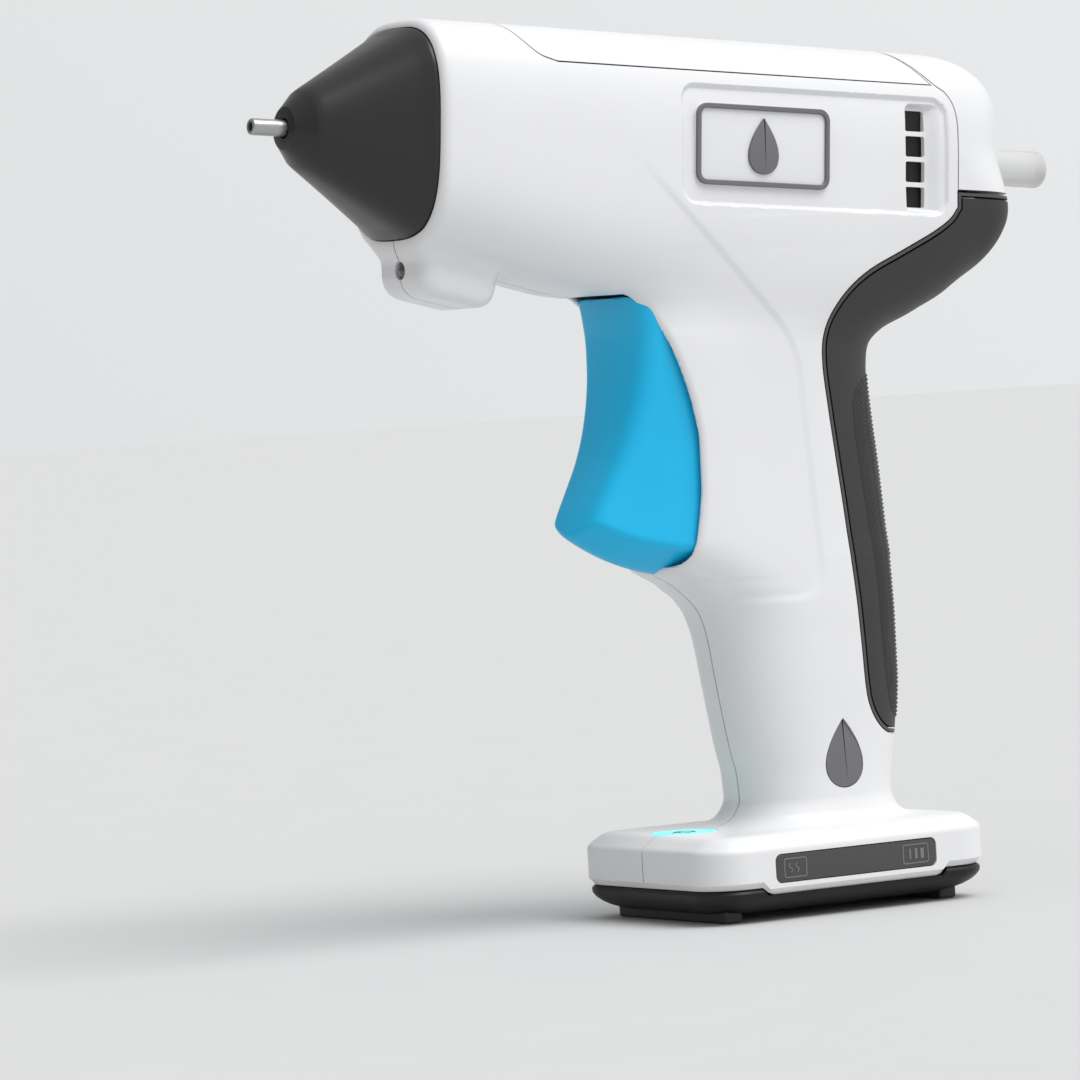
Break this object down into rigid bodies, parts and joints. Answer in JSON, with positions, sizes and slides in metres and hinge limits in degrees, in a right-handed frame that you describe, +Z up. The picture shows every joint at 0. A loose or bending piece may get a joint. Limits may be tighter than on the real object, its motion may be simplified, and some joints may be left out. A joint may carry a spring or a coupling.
{
  "type": "glue gun",
  "caption": "Cordless pistol-shaped mini hot-glue gun that stands on its foot, with a pull trigger that feeds a glue stick through a heated nose.",
  "frame": {"origin": "bottom centre of the whole gun's bounding box, on the surface it stands on", "axes": "+Z up, -X the way the nozzle points, -Y the gun's left side; the barrel axis rises 4.45 degrees towards the nozzle"},
  "size_m": [0.1784, 0.049, 0.1717],
  "materials": {
    "white_shell": "satin moulded, fine sheen",
    "grip_rubber": "matt overmoulded rubber",
    "dark_tray": "fine moulded texture",
    "grey_trim": "satin",
    "black_cone": "satin black",
    "bare_steel": "nickel plated",
    "cast_aluminium": "as cast",
    "brass_parts": "bare",
    "inlet_silicone": "matt",
    "stick_glue": "translucent, waxy",
    "blue_trigger": "satin",
    "teal_light": "lit from behind",
    "smoked_window": "smoked, clear lacquered",
    "circuit_board": "solder mask",
    "cell_sleeve": "heat-shrink sleeve",
    "red_wire": "pvc insulation",
    "black_wire": "pvc insulation"
  },
  "bodies": {
    "housing": {"shell_left": "white_shell", "shell_right": "white_shell", "top_cover": "white_shell", "rear_cap": "white_shell", "rear_grip": "grip_rubber", "front_pad": "grip_rubber", "rear_pad": "grip_rubber", "base_tray": "dark_tray", "vent_baffle_left": "dark_tray", "vent_baffle_right": "dark_tray", "button_switch": "dark_tray", "badge_left": "grey_trim", "badge_right": "grey_trim", "handle_inlay_left": "grey_trim", "handle_inlay_right": "grey_trim", "button_ring": "grey_trim", "nose_cone": "black_cone", "nozzle": "bare_steel", "heater_clip": "bare_steel", "thermal_fuse": "bare_steel", "sleeve_ring": "bare_steel", "trigger_pin": "bare_steel", "charge_socket": "bare_steel", "housing_screw_1": "bare_steel", "housing_screw_2": "bare_steel", "housing_screw_3": "bare_steel", "housing_screw_4": "bare_steel", "housing_screw_5": "bare_steel", "housing_screw_6": "bare_steel", "tray_screw_1": "bare_steel", "tray_screw_2": "bare_steel", "tray_screw_3": "bare_steel", "tray_screw_4": "bare_steel", "melt_chamber": "cast_aluminium", "heater_plate": "brass_parts", "battery_contact_top": "brass_parts", "battery_contact_bottom": "brass_parts", "inlet_sleeve": "inlet_silicone", "work_light": "stick_glue", "status_lamp_heat": "teal_light", "status_lamp_charge": "teal_light", "status_window": "smoked_window", "main_board": "circuit_board", "status_board": "circuit_board", "battery_cell": "cell_sleeve", "heater_lead_left": "red_wire", "battery_lead": "red_wire", "heater_lead_right": "black_wire", "light_lead": "black_wire"},
    "trigger": {"trigger": "blue_trigger", "trigger_spring": "bare_steel"},
    "carriage": {"carriage": "dark_tray", "jaw_pin": "bare_steel"},
    "gripper_jaw": {"gripper_jaw": "bare_steel"},
    "glue_stick": {"glue_stick": "stick_glue"},
    "power_button": {"power_button": "teal_light"}
  },
  "joints": [
    {"name": "trigger_pull", "type": "hinge", "parent": "housing", "child": "trigger", "pos_m": [0.002, 0, 0.113], "axis": [0, -1, 0], "range_deg": [0, 13], "stiffness_Nm_per_rad": 0.12, "springref_deg": -11.46},
    {"name": "carriage_feed", "type": "slide", "parent": "housing", "child": "carriage", "axis": [-0.997, 0, 0.0776], "range_m": [0, 0.00542]},
    {"name": "jaw_grip", "type": "hinge", "parent": "carriage", "child": "gripper_jaw", "pos_m": [0.02535, 0, 0.1495], "axis": [0, -1, 0], "range_deg": [0, 6.2]},
    {"name": "glue_stick_slide", "type": "slide", "parent": "housing", "child": "glue_stick", "axis": [0.997, 0, -0.0776], "range_m": [-0.012, 0.1]},
    {"name": "power_button_press", "type": "slide", "parent": "housing", "child": "power_button", "axis": [0, 0, -1], "range_m": [0, 0.0008], "stiffness_N_per_m": 500, "springref_m": -0.0012}
  ],
  "couplings": [
    {"joint": "trigger_pull", "follows": "carriage_feed", "rad_per_m": 41.75},
    {"joint": "jaw_grip", "follows": "carriage_feed", "rad_per_m": 19.27}
  ]
}
